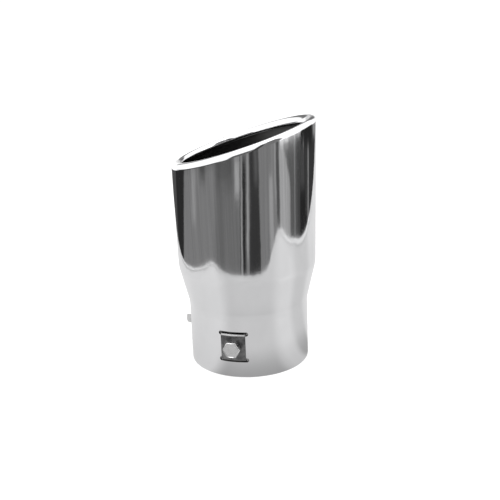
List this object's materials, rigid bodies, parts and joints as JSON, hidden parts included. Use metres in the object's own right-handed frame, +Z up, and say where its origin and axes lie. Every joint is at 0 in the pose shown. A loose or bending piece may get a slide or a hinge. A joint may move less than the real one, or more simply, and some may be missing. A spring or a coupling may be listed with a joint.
{
  "type": "exhaust tip",
  "caption": "Slip-on exhaust tip: flared polished tube with a slash-cut rolled outlet, clamped to the tail pipe by strap plates with hex set screws.",
  "frame": {"origin": "centre of the inlet sleeve's lower edge, on the plane that the part stands on", "axes": "+Z up the tube's axis towards the outlet, +X towards the long side of the slash cut, -Y towards the front clamp"},
  "size_m": [0.0902, 0.0902, 0.1572],
  "materials": {
    "polished_stainless": "mirror polished",
    "strap_steel": "dull rolled sheet",
    "screw_zinc": "bright zinc plate"
  },
  "bodies": {
    "tip": {"outer_shell": "polished_stainless", "strap_front": "strap_steel", "strap_left": "strap_steel", "strap_back": "strap_steel"},
    "front_screw": {"screw_front": "screw_zinc"},
    "left_screw": {"screw_left": "screw_zinc"},
    "back_screw": {"screw_back": "screw_zinc"}
  },
  "joints": [
    {"name": "front_screw_travel", "type": "slide", "parent": "tip", "child": "front_screw", "axis": [0, -1, 0], "range_m": [0, 0.008]},
    {"name": "left_screw_travel", "type": "slide", "parent": "tip", "child": "left_screw", "axis": [-0.9903, 0.1392, 0], "range_m": [0, 0.008]},
    {"name": "back_screw_travel", "type": "slide", "parent": "tip", "child": "back_screw", "axis": [0.2756, 0.9613, 0], "range_m": [0, 0.008]}
  ]
}
